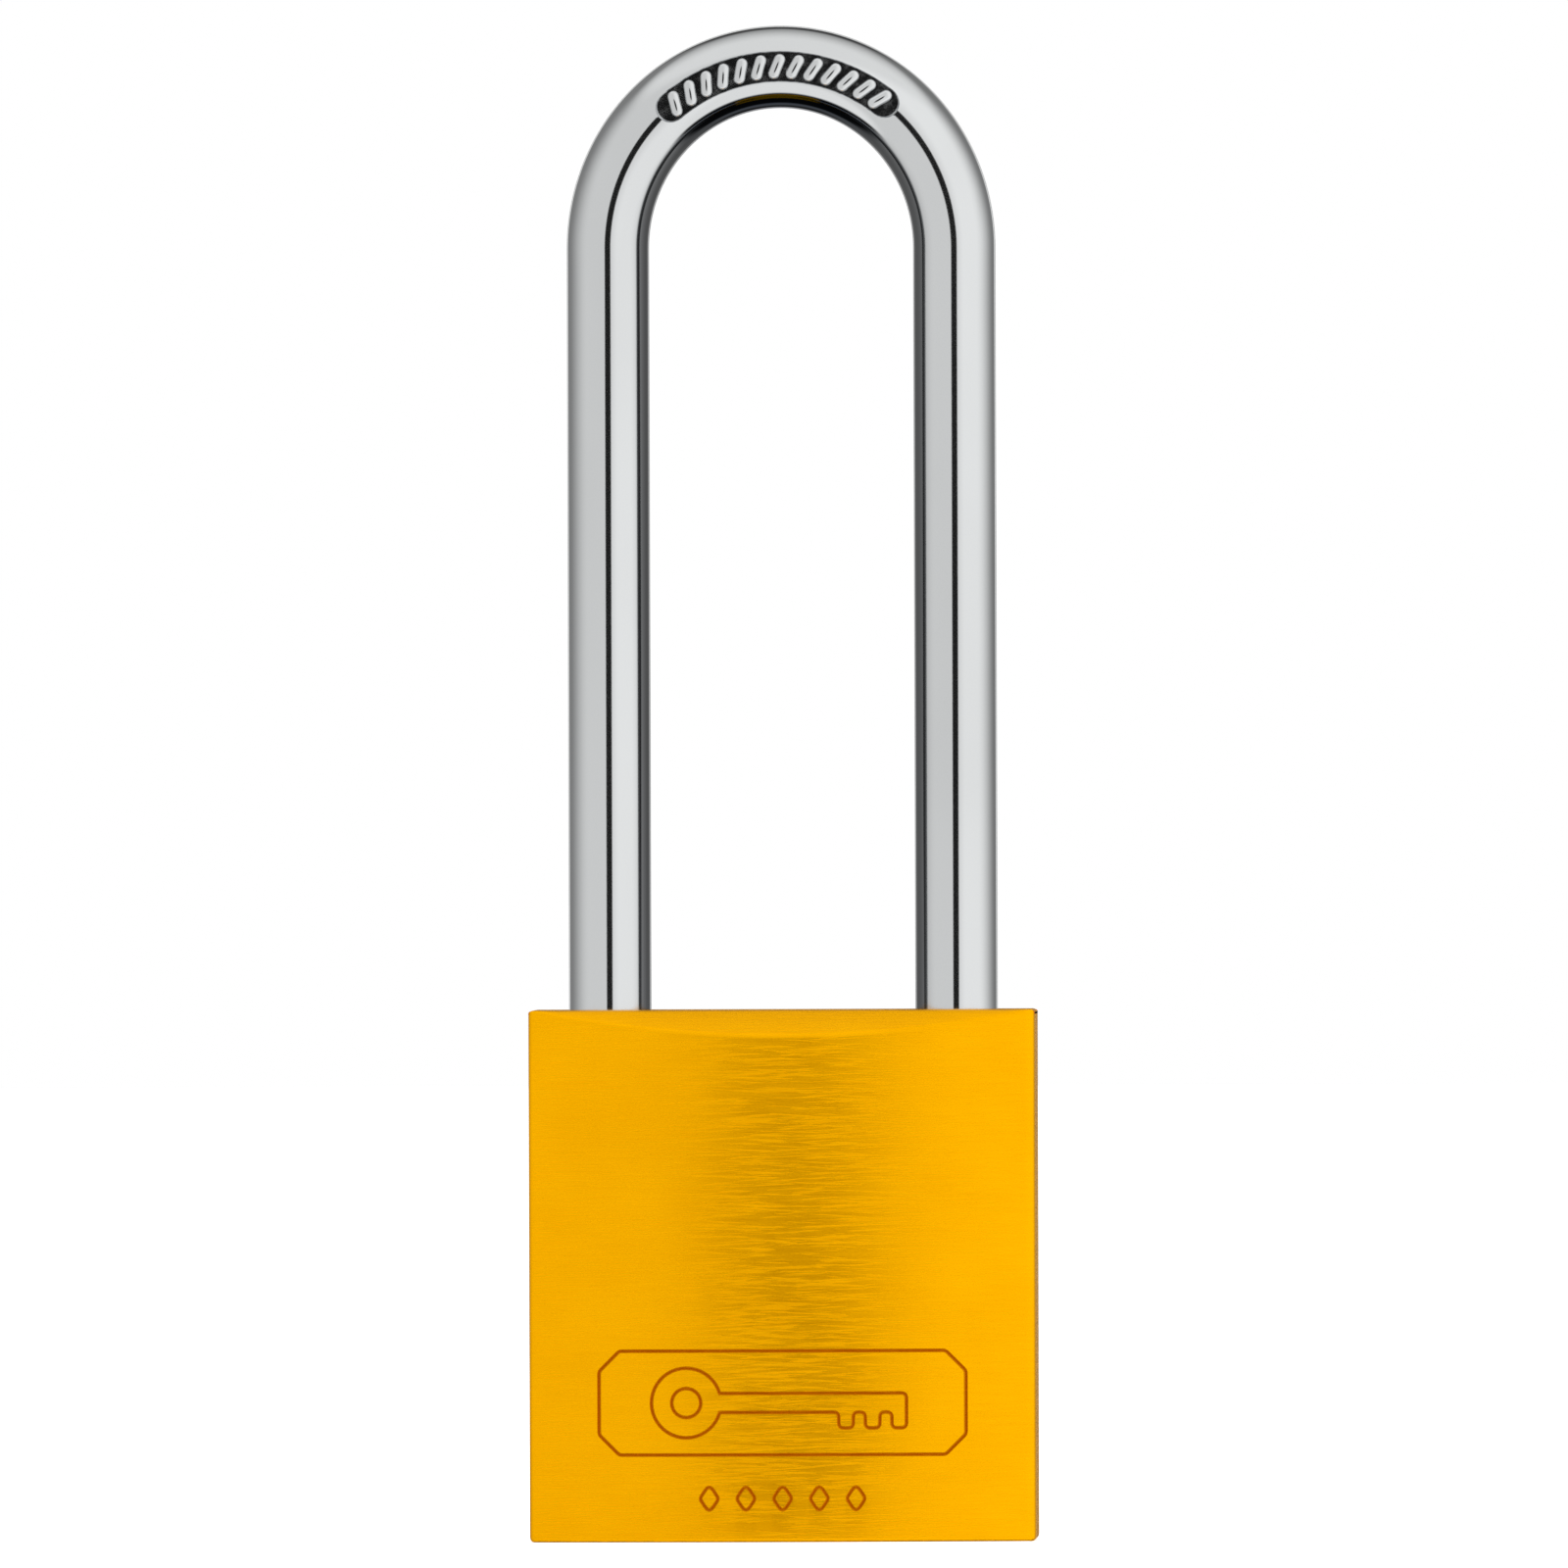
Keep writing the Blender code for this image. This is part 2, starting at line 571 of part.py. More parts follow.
def make_clip(material):
    """Open ring that snaps into the plug's groove above the barrel."""
    inner, outer = CLIP_RADII
    sweep = 2 * math.pi - CLIP_GAP_ANGLE
    angles = [CLIP_GAP_ANGLE / 2 + sweep * i / CLIP_STEPS for i in range(CLIP_STEPS + 1)]
    outline = [(outer * math.cos(a), outer * math.sin(a)) for a in angles]
    outline += [(inner * math.cos(a), inner * math.sin(a)) for a in reversed(angles)]
    return add_object("plug_clip", prism_mesh("plug_clip", outline, *CLIP_Z), material=material)


def make_screw(material):
    head_height = SCREW_HEAD_TOP_Z - SCREW_HEAD_BOTTOM_Z
    length = SCREW_HEAD_BOTTOM_Z - SCREW_TIP_Z
    chamfer = SCREW_CHAMFER
    profile = [
        (0, -length), (SCREW_SHANK_RADIUS - chamfer, -length), (SCREW_SHANK_RADIUS, chamfer - length),
        (SCREW_SHANK_RADIUS, 0), (SCREW_HEAD_RADIUS, 0), (SCREW_HEAD_RADIUS, head_height - chamfer),
        (SCREW_HEAD_RADIUS - chamfer, head_height), (0, head_height),
    ]
    mesh = turned_mesh("cylinder_screw", profile, SMALL_ROUND)
    screw = add_object("cylinder_screw", mesh, (LEG_X, 0, SCREW_HEAD_BOTTOM_Z), material=material)
    half_slot = SCREW_SLOT_WIDTH / 2
    reach = SCREW_HEAD_RADIUS + OVERRUN
    low = (LEG_X - reach, -half_slot, SCREW_HEAD_TOP_Z - SCREW_SLOT_WIDTH)
    cut_box(screw, "screw_slot", low, (LEG_X + reach, half_slot, SCREW_HEAD_TOP_Z + OVERRUN))
    return screw


def make_key_pin(number, z, length, material):
    chamfer = PIN_CHAMFER
    profile = [
        (0, 0), (KEY_PIN_TIP_RADIUS, 0), (PIN_RADIUS, KEY_PIN_TIP),
        (PIN_RADIUS, length - chamfer), (PIN_RADIUS - chamfer, length), (0, length),
    ]
    mesh = turned_mesh(f"key_pin_{number}", profile, SMALL_ROUND)
    origin = (0, KEY_PIN_OUTER - length, z)
    return add_object(mesh.name, mesh, origin, (-math.pi / 2, 0, 0), material)


def make_driver_pin(number, z, material):
    chamfer = PIN_CHAMFER
    length = DRIVER_PIN_LENGTH
    profile = [
        (0, 0), (PIN_RADIUS - chamfer, 0), (PIN_RADIUS, chamfer),
        (PIN_RADIUS, length - chamfer), (PIN_RADIUS - chamfer, length), (0, length),
    ]
    mesh = turned_mesh(f"driver_pin_{number}", profile, SMALL_ROUND)
    return add_object(mesh.name, mesh, (DRIVER_PIN_INNER_X, 0, z), (0, math.pi / 2, 0), material)


def make_pin_spring(number, z, material):
    start = DRIVER_PIN_INNER_X + DRIVER_PIN_LENGTH + PIN_SPRING_WIRE_RADIUS + SPRING_END_GAP
    height = COVER_X[0] - PIN_SPRING_WIRE_RADIUS - SPRING_END_GAP - start
    name = f"pin_spring_{number}"
    size = (PIN_SPRING_RADIUS, PIN_SPRING_WIRE_RADIUS, height)
    curve = coil_curve(name, *size, PIN_SPRING_TURNS, PIN_SPRING_STEPS, 0)
    return add_object(name, curve, (start, 0, z), (0, math.pi / 2, 0), material)


def make_pins(key_material, driver_material, spring_material):
    for number, (z, length) in enumerate(zip(pin_heights(), KEY_PIN_LENGTHS), 1):
        make_key_pin(number, z, length, key_material)
        make_driver_pin(number, z, driver_material)
        make_pin_spring(number, z, spring_material)


def make_cover(material):
    low = (COVER_X[0], -COVER_HALF_WIDTH, COVER_Z[0])
    high = (COVER_X[1], COVER_HALF_WIDTH, COVER_Z[1])
    return add_object("chamber_cover", box_mesh("chamber_cover", low, high), material=material)


def main():
    clear_scene()
    yellow = make_material("anodised yellow aluminium", (0.88, 0.40, 0.005), 0.33, 0.85)
    chrome = make_material("chromed steel", (0.72, 0.73, 0.75), 0.12, 1.0)
    steel = make_material("hardened steel", (0.42, 0.43, 0.45), 0.30, 1.0)
    spring_steel = make_material("spring steel", (0.30, 0.31, 0.33), 0.35, 1.0)
    brass = make_material("brass", (0.72, 0.50, 0.18), 0.32, 1.0)
    nickel = make_material("nickel-plated brass", (0.62, 0.58, 0.50), 0.25, 1.0)
    make_body(yellow)
    make_shackle(chrome)
    make_retaining_pin(steel)
    make_spring_cap(steel)
    make_shackle_spring(spring_steel)
    make_rotor(steel)
    make_balls(chrome)
    make_shell(nickel)
    make_plug(nickel)
    make_clip(spring_steel)
    make_screw(steel)
    make_cover(brass)
    make_pins(brass, nickel, spring_steel)


main()
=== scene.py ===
"""Looks of the safety padlock: bright chromed shackle, brushed yellow anodised body, satin cylinder.

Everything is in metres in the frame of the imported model: origin at the centre of the body's underside,
+Z up, front face towards -Y, heel leg at -X and toe leg at +X.
"""

import json
import math

import bmesh
import bpy
from mathutils import Matrix, Vector


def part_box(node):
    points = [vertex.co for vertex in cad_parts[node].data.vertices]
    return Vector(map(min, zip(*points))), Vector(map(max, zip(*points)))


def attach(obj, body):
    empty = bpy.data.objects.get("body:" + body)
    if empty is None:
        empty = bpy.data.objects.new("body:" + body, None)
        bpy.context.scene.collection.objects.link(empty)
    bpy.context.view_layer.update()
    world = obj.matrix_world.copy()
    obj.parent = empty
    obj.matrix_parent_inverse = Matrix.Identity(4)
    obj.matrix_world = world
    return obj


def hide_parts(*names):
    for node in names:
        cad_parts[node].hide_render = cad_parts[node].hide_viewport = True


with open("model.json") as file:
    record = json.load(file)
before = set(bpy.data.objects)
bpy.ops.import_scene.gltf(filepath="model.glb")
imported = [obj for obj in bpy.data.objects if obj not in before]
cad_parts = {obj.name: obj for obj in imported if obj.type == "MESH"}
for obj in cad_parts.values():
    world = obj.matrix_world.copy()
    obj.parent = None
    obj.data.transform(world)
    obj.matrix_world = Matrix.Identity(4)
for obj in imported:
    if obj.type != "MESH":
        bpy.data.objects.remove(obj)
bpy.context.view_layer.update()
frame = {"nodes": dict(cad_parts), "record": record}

MM = 0.001
SHARP_ANGLE = math.radians(35)
BODY_SHARP_ANGLE = math.radians(30)
BAR_SHARP_ANGLE = math.radians(60)

# Sizes that the frame gives.
BODY_LOW, BODY_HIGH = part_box("lock_body")
SHACKLE_LOW, SHACKLE_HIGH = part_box("shackle")
SHELL_LOW, SHELL_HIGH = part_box("cylinder_shell")
PLUG_LOW, PLUG_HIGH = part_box("cylinder_plug")
HALF_WIDTH = BODY_HIGH.x
HALF_DEPTH = BODY_HIGH.y
TOP_Z = BODY_HIGH.z
WIRE_RADIUS = SHACKLE_HIGH.y
LEG_X = SHACKLE_HIGH.x - WIRE_RADIUS
CROWN_TOP_Z = SHACKLE_HIGH.z - WIRE_RADIUS

# Body.
FACE_BULGE = 2.0 * MM
CORNER_Y = HALF_DEPTH - FACE_BULGE
FACE_RADIUS = (HALF_WIDTH ** 2 + FACE_BULGE ** 2) / (2 * FACE_BULGE)
FOOT_RADIUS = 0.35 * MM
EDGE_RADIUS = 0.38 * MM
SHOULDER_RADIUS = 0.66 * MM
FACE_COLUMNS = 96
ROUND_STEPS = 4
LEG_BORE_RADIUS = 3.5 * MM
HEEL_FLOOR_Z = 3.0 * MM
TOE_FLOOR_Z = 28.8 * MM
BORE_CHAMFER = 0.18 * MM
CAVITY_TOP_Z = 25.0 * MM
CAVITY_GAP = 0.2 * MM
BALL_Z = 35.0 * MM
BALL_CHANNEL_RADIUS = 3.15 * MM

# Marks cut into the front face: a frame round a key sign, and a row of small lozenges below.
GROOVE_HALF_WIDTH = 0.15 * MM
GROOVE_DEPTH = 0.125 * MM
GROOVE_RISE = 0.03 * MM
GROOVE_STEP = 1.0 * MM
FRAME_CENTRE_Z = 11.0 * MM
FRAME_SIZE = (29.0 * MM, 8.2 * MM)
FRAME_CLIP = 1.6 * MM
FRAME_CORNER = 0.5 * MM
LOZENGE_Z = 3.45 * MM
LOZENGE_COUNT = 5
LOZENGE_PITCH = 2.9 * MM
LOZENGE_HALF = (0.75 * MM, 1.15 * MM)
MARK_CORNER = 0.4 * MM

# Faces larger than this are flat panels; their shading keeps their own normal.
FLAT_FACE_AREA = 200 * MM ** 2

# Shackle.
SPRING_LINE_Z = 102.2 * MM
CROWN_RISE = CROWN_TOP_Z - SPRING_LINE_Z
CROWN_STEPS = 140
WIRE_SIDES = 72
TOE_END_Z = 29.5 * MM
HEEL_END_Z = SHACKLE_LOW.z
END_RADIUS = 0.5 * MM
END_SUPPORT = 0.3 * MM
NECK_RADIUS = 1.9 * MM
NECK_Z = (13.3 * MM, 28.9 * MM)
NECK_CHAMFER = 0.25 * MM
NOTCH_X = 8.7 * MM
NOTCH_RADIUS = 3.3 * MM

# The chrome's colour is darker inside this half ellipse and the straight legs below it: painted shade on the
# inner side of the loop.
PAINTED_SHADE_X = 11.43 * MM
PAINTED_SHADE_RISE = 12.26 * MM

# Recess in the crown, with a row of plain raised bars.
RECESS_HALF_WIDTH = 1.25 * MM
RECESS_DEPTH = 0.42 * MM
RECESS_DRAFT = 0.10 * MM
BAND_STEPS = (60, 12)
RECESS_ANGLES = (math.radians(53.3), math.radians(128.7))
BAR_COUNT = 13
BAR_SLANT = math.radians(24)
BAR_MARGIN = math.radians(1.5)
BAR_HALF_WIDTH = 0.44 * MM
BAR_HALF_LENGTH = 1.04 * MM
BAR_HEIGHT = 0.36 * MM
BAR_ROUND_STEPS = 6

# Cylinder.
BARREL_RADIUS = SHELL_HIGH.y
TOWER_HALF_WIDTH = 3.5 * MM
PLUG_HEAD_RADIUS = PLUG_HIGH.y
PLUG_RADIUS = 5.5 * MM
PLUG_HEAD_TOP_Z = 1.9 * MM
PLUG_TOP_Z = 24.3 * MM
TANG_HALF = (1.2 * MM, 3.8 * MM)
SHELL_TOP_Z = 22.9 * MM
KEYWAY_TOP_Z = 22.6 * MM
RING_RADIUS = 4.95 * MM
RING_WIDTH = 0.25 * MM
RING_DEPTH = 0.12 * MM
CYLINDER_SIDES = 96

FLOOR_HALF_SIZE = 6.0

# Brightness of the studio's panels, as the object's surfaces see them.
LEFT_PANEL = 0.86
RIGHT_PANEL = 1.13
TOP_PANEL = 1.00
FRONT_FLOOR = 1.05
REAR_FLOOR = 0.40
REAR_PANEL = 0.70
GAP_LEVEL = 0.018

# Camera: a long lens from the front, a touch to the right, with a slight roll.
CAMERA_DISTANCE = 4.0
CAMERA_HEIGHT = 59.83 * MM
CAMERA_SIDE = 0.1 * MM
CAMERA_YAW = math.radians(1.1)
CAMERA_ROLL = math.radians(0.18)
VIEW_WIDTH = 124.03 * MM
SENSOR_WIDTH = 36.0


# ---------------------------------------------------------------- mesh helpers


def add_object(name, mesh, material=None):
    item = bpy.data.objects.new(name, mesh)
    if material:
        mesh.materials.append(material)
    bpy.context.scene.collection.objects.link(item)
    return item


def finish_mesh(name, bm, sharp_angle=SHARP_ANGLE):
    bmesh.ops.remove_doubles(bm, verts=bm.verts, dist=1e-7)
    bmesh.ops.recalc_face_normals(bm, faces=bm.faces)
    mesh = bpy.data.meshes.new(name)
    bm.to_mesh(mesh)
    bm.free()
    mesh.shade_smooth()
    mesh.set_sharp_from_angle(angle=sharp_angle)
    return mesh


def bridge(bm, loops, closed=False):
    """Join loops of vertices in order with quads."""
    pairs = list(zip(loops, loops[1:]))
    if closed:
        pairs.append((loops[-1], loops[0]))
    for lower, upper in pairs:
        for i, start in enumerate(lower):
            j = (i + 1) % len(lower)
            bm.faces.new((start, lower[j], upper[j], upper[i]))


def circle(radius, steps, centre=(0.0, 0.0)):
    turns = [2 * math.pi * i / steps for i in range(steps)]
    return [(centre[0] + radius * math.cos(a), centre[1] + radius * math.sin(a)) for a in turns]


def arc(centre, radius, start, end, steps):
    turns = [start + (end - start) * i / steps for i in range(steps + 1)]
    return [(centre[0] + radius * math.cos(a), centre[1] + radius * math.sin(a)) for a in turns]


def round_corners(points, radii, steps):
    """Replace each corner of a closed outline with an arc, as large as its edges allow."""
    result = []
    for i, here in enumerate(points):
        corner = Vector(here)
        back = Vector(points[i - 1]) - corner
        ahead = Vector(points[(i + 1) % len(points)]) - corner
        if not radii[i]:
            result.append(here)
            continue
        half = back.angle(ahead) / 2
        reach = min(radii[i] / math.tan(half), 0.45 * back.length, 0.45 * ahead.length)
        first = corner + back.normalized() * reach
        last = corner + ahead.normalized() * reach
        for k in range(steps + 1):
            t = k / steps
            a = first.lerp(corner, t)
            b = corner.lerp(last, t)
            result.append(tuple(a.lerp(b, t)))
    return result


def lofted(name, outlines_at):
    """Closed solid through (outline of (x, y) points, height) pairs."""
    bm = bmesh.new()
    loops = [[bm.verts.new((x, y, z)) for x, y in outline] for outline, z in outlines_at]
    bridge(bm, loops)
    bm.faces.new(loops[0])
    bm.faces.new(loops[-1])
    return finish_mesh(name, bm)


def turned(name, profile, steps, centre=(0.0, 0.0)):
    """Solid of revolution about a vertical line, from (radius, height) points off the axis."""
    return lofted(name, [(circle(r, steps, centre), z) for r, z in profile])


def apply_boolean(target, cutter, operation="DIFFERENCE"):
    """Cut or join in place, keep the cutter's material on the new faces and delete the cutter."""
    step = target.modifiers.new("cut", "BOOLEAN")
    step.operation = operation
    step.solver = "EXACT"
    step.material_mode = "TRANSFER"
    step.object = cutter
    graph = bpy.context.evaluated_depsgraph_get()
    mesh = bpy.data.meshes.new_from_object(target.evaluated_get(graph))
    target.modifiers.clear()
    if not mesh.polygons:
        raise ValueError(f"{cutter.name} emptied {target.name}")
    old = target.data
    target.data = mesh
    mesh.name = old.name
    bpy.data.meshes.remove(old)
    bpy.data.objects.remove(cutter)


def shade(item, sharp_angle=SHARP_ANGLE):
    item.data.shade_smooth()
    item.data.set_sharp_from_angle(angle=sharp_angle)


# ---------------------------------------------------------------- materials


class Nodes:
    """Small helper that adds and links nodes in one material or world."""

    def __init__(self, tree):
        self.tree = tree

    def add(self, kind, **values):
        node = self.tree.nodes.new(kind)
        for key, value in values.items():
            setattr(node, key, value)
        return node

    def link(self, output, target):
        self.tree.links.new(output, target)

    def set(self, target, value):
        if hasattr(value, "links"):
            self.link(value, target)
        else:
            target.default_value = value

    def math(self, operation, a, b=0.0):
        node = self.add("ShaderNodeMath", operation=operation)
        for target, value in zip(node.inputs, (a, b)):
            self.set(target, value)
        return node.outputs[0]

    def ramp(self, value, start, end, low=0.0, high=1.0):
        """Smooth change from low to high while value goes from start to end."""
        node = self.add("ShaderNodeMapRange", interpolation_type="SMOOTHSTEP")
        for target, number in zip(node.inputs, (value, start, end, low, high)):
            self.set(target, number)
        return node.outputs[0]

    def position(self, scale=(1, 1, 1), tilt=0.0):
        """Object coordinates, turned by tilt about Y and then scaled."""
        tilted = self.add("ShaderNodeMapping")
        tilted.inputs["Rotation"].default_value = (0, tilt, 0)
        self.link(self.add("ShaderNodeTexCoord").outputs["Object"], tilted.inputs["Vector"])
        scaled = self.add("ShaderNodeMapping")
        scaled.inputs["Scale"].default_value = scale
        self.link(tilted.outputs[0], scaled.inputs["Vector"])
        return scaled.outputs[0]

    def noise(self, vector, scale, detail=3.0, roughness=0.55, distortion=0.0):
        node = self.add("ShaderNodeTexNoise")
        self.link(vector, node.inputs["Vector"])
        node.inputs["Scale"].default_value = scale
        node.inputs["Detail"].default_value = detail
        node.inputs["Roughness"].default_value = roughness
        node.inputs["Distortion"].default_value = distortion
        return node.outputs["Fac"]

    def brushed(self, along, across, tilt, character):
        """Streaks round the sides and, where the surface faces up or down, along X."""
        normal = self.add("ShaderNodeSeparateXYZ")
        self.link(self.add("ShaderNodeTexCoord").outputs["Normal"], normal.inputs[0])
        level = self.ramp(self.math("ABSOLUTE", normal.outputs[2]), 0.4, 0.6)
        mix = self.add("ShaderNodeMix", data_type="FLOAT")
        self.link(level, mix.inputs[0])
        self.link(self.noise(self.position((along, along, across), tilt), 1.0, *character), mix.inputs[2])
        self.link(self.noise(self.position((along, across, across), tilt), 1.0, *character), mix.inputs[3])
        return mix.outputs[0]

    def bump(self, height, strength, distance):
        node = self.add("ShaderNodeBump")
        self.set(node.inputs["Height"], height)
        node.inputs["Strength"].default_value = strength
        node.inputs["Distance"].default_value = distance
        return node.outputs[0]

    def mix_colour(self, factor, a, b):
        """Mix two colours, each an (r, g, b) value or a socket."""
        node = self.add("ShaderNodeMix", data_type="RGBA")
        self.set(node.inputs[0], factor)
        for target, colour in zip(node.inputs[6:8], (a, b)):
            self.set(target, colour if hasattr(colour, "links") else (*colour, 1.0))
        return node.outputs[2]


def new_material(name, metallic=1.0):
    material = bpy.data.materials.new(name)
    material.use_nodes = True
    shader = material.node_tree.nodes["Principled BSDF"]
    shader.inputs["Metallic"].default_value = metallic
    return material, shader, Nodes(material.node_tree)


def anodised_yellow(name, level=1.0):
    """Dyed anodised aluminium with fine brushing across the body; level darkens it in the engraving, as
    painted shade in the grooves.
    """
    material, shader, n = new_material(name, 0.75)
    brushing = n.brushed(260, 6500, 0.0, (3.0, 0.6, 0.2))
    strokes = n.math("MAXIMUM", n.brushed(260, 6200, 0.05, (2.0, 0.5, 0.4)),
                     n.brushed(230, 5600, -0.04, (2.0, 0.5, 0.4)))
    scratches = n.ramp(strokes, 0.52, 0.70)
    cloud = n.noise(n.position(), 140.0, 2.0)
    tone = n.math("ADD", n.math("MULTIPLY", cloud, 0.5), n.math("MULTIPLY", brushing, 0.5))
    dark = (0.88 * level, 0.395 * level ** 1.7, 0.0002)
    light = (0.93 * level, 0.43 * level ** 1.7, 0.0005)
    n.link(n.mix_colour(n.ramp(tone, 0.3, 0.7), dark, light), shader.inputs["Base Color"])
    rough = n.math("ADD", n.math("MULTIPLY", brushing, 0.11), n.math("MULTIPLY", scratches, 0.13))
    n.link(n.math("ADD", rough, 0.19), shader.inputs["Roughness"])
    shader.inputs["Specular IOR Level"].default_value = 0.0
    shader.inputs["Anisotropic"].default_value = 0.6
    shader.inputs["Anisotropic Rotation"].default_value = 0.25
    flow = n.add("ShaderNodeTangent", direction_type="RADIAL", axis="Z")
    n.link(flow.outputs[0], shader.inputs["Tangent"])
    height = n.math("ADD", n.math("MULTIPLY", brushing, 0.5), n.math("MULTIPLY", scratches, 0.5))
    n.link(n.bump(height, 0.35, 0.00002), shader.inputs["Normal"])
    return material


def chrome():
    """Polished chrome plating with faint pits and hairlines, coloured darker on the inside of the loop as
    painted shade, darkest towards the top of the crown.
    """
    material, shader, n = new_material("polished chrome")
    smear = n.noise(n.position((60, 60, 25)), 1.0, 3.0)
    plated = n.mix_colour(n.ramp(smear, 0.3, 0.7), (0.625, 0.637, 0.640), (0.665, 0.678, 0.682))
    # Painted shade: the base colour turns dark on the inner side of the loop, and darker still near the top
    # of the crown.
    split = n.add("ShaderNodeSeparateXYZ")
    n.link(n.position(), split.inputs[0])
    across = n.math("DIVIDE", split.outputs[0], PAINTED_SHADE_X)
    rise = n.math("DIVIDE", n.math("SUBTRACT", split.outputs[2], SPRING_LINE_Z), PAINTED_SHADE_RISE)
    rise = n.math("MAXIMUM", rise, 0.0)
    squares = n.math("ADD", n.math("MULTIPLY", across, across), n.math("MULTIPLY", rise, rise))
    inside = n.ramp(n.math("SQRT", squares), 0.985, 1.01, 1.0, 0.0)
    stamped_and_painted_shade = n.mix_colour(n.ramp(rise, 0.6, 0.95), (0.21, 0.215, 0.22), (0.05, 0.065, 0.09))
    n.link(n.mix_colour(inside, plated, stamped_and_painted_shade), shader.inputs["Base Color"])
    n.link(n.math("ADD", n.math("MULTIPLY", smear, 0.05), 0.045), shader.inputs["Roughness"])
    hairs = n.noise(n.position((3000, 3000, 60)), 1.0, 2.0)
    pits = n.noise(n.position(), 2500.0, 2.0)
    height = n.math("ADD", n.math("MULTIPLY", hairs, 0.6), n.math("MULTIPLY", pits, 0.4))
    n.link(n.bump(height, 0.06, 0.00001), shader.inputs["Normal"])
    return material


def stamped_chrome():
    """Chrome over the stamped recess: the same plating on a slightly rough, rippled floor."""
    material, shader, n = new_material("stamped chrome")
    grain = n.noise(n.position(), 1500.0, 3.0, 0.6)
    ripple = n.noise(n.position(), 500.0, 2.0)
    colour = n.mix_colour(n.ramp(grain, 0.35, 0.7), (0.42, 0.43, 0.44), (0.62, 0.63, 0.635))
    n.link(colour, shader.inputs["Base Color"])
    n.link(n.ramp(grain, 0.3, 0.8, 0.06, 0.16), shader.inputs["Roughness"])
    height = n.math("ADD", n.math("MULTIPLY", grain, 0.3), n.math("MULTIPLY", ripple, 0.7))
    n.link(n.bump(height, 0.4, 0.00003), shader.inputs["Normal"])
    return material


def worked_metal(name, dark, light, roughness, ring_scale=0.0, grain_scale=3200.0):
    """Machined or drawn metal: fine grain, and turning rings where ring_scale is set."""
    material, shader, n = new_material(name)
    grain = n.noise(n.position(), grain_scale, 4.0, 0.6)
    colour = n.mix_colour(n.ramp(grain, 0.1, 0.9), dark, light)
    n.link(colour, shader.inputs["Base Color"])
    n.link(n.ramp(grain, 0.2, 0.8, roughness * 0.85, roughness * 1.15), shader.inputs["Roughness"])
    height = grain
    if ring_scale:
        wave = n.add("ShaderNodeTexWave", wave_type="RINGS", rings_direction="Z")
        n.link(n.position(), wave.inputs["Vector"])
        wave.inputs["Scale"].default_value = ring_scale
        wave.inputs["Distortion"].default_value = 0.4
        height = n.math("ADD", n.math("MULTIPLY", grain, 0.4), n.math("MULTIPLY", wave.outputs["Fac"], 0.6))
    n.link(n.bump(height, 0.25, 0.00001), shader.inputs["Normal"])
    return material


# ---------------------------------------------------------------- body


def face_y(x):
    """Distance of the bulging face from the middle plane, at x across the body."""
    return CORNER_Y + math.sqrt(FACE_RADIUS ** 2 - x ** 2) - (FACE_RADIUS - FACE_BULGE)


def body_section(x, inset):
    """Closed (y, z) outline of the body at x, moved inwards by inset, with its corners rounded."""
    y = face_y(x) - inset
    slope = math.tan(math.radians(22.5)) * inset
    shoulder_z = TOP_Z - (face_y(x) - CORNER_Y) - slope
    top_y = CORNER_Y - slope
    half = [(y, inset), (y, shoulder_z), (top_y, TOP_Z - inset)]
    outline = half + [(-py, pz) for py, pz in reversed(half)]
    radii = [FOOT_RADIUS, SHOULDER_RADIUS, SHOULDER_RADIUS]
    return round_corners(outline, radii + radii[::-1], ROUND_STEPS)


def body_mesh():
    bm = bmesh.new()
    columns = []
    for i in range(ROUND_STEPS + 1):
        turn = math.pi / 2 * i / ROUND_STEPS
        x = HALF_WIDTH - EDGE_RADIUS * (1 - math.sin(turn))
        columns.append((x, EDGE_RADIUS * (1 - math.cos(turn))))
    flat = HALF_WIDTH - EDGE_RADIUS
    ends = [(x, inset) for x, inset in reversed(columns)]
    middle = [(flat * (1 - 2 * i / FACE_COLUMNS), 0.0) for i in range(1, FACE_COLUMNS)]
    stations = ends + middle + [(-x, inset) for x, inset in columns]
    stations.sort(key=lambda station: -station[0])
    loops = []
    for x, inset in stations:
        loops.append([bm.verts.new((x, y, z)) for y, z in body_section(x, inset)])
    bridge(bm, loops)
    bm.faces.new(loops[0])
    bm.faces.new(loops[-1])
    return finish_mesh("body_case", bm)


def bore_cutter(name, x, floor_z):
    """Leg bore with a small countersink at the mouth."""
    r, c = LEG_BORE_RADIUS, BORE_CHAMFER
    profile = [(r, floor_z), (r, TOP_Z - c), (r + 2 * c, TOP_Z + c), (r + 2 * c, TOP_Z + MM)]
    return add_object(name, turned(name, profile, 72, (x, 0)))


def pear_outline(grow):
    """Outline of the barrel with its tower, moved outwards by grow."""
    radius = BARREL_RADIUS + grow
    half = TOWER_HALF_WIDTH + grow
    start = math.asin(half / radius)
    round_part = arc((0, 0), radius, start, 2 * math.pi - start, 80)
    end_x = SHELL_HIGH.x + grow
    return round_part + [(end_x, -half), (end_x, half)]


def split_long(outline, longest):
    """Add evenly spaced points on the edges of a closed outline that are longer than longest."""
    result = []
    for i, (x, z) in enumerate(outline):
        after_x, after_z = outline[(i + 1) % len(outline)]
        parts = max(1, math.ceil(math.hypot(after_x - x, after_z - z) / longest))
        result += [(x + (after_x - x) * k / parts, z + (after_z - z) * k / parts) for k in range(parts)]
    return result


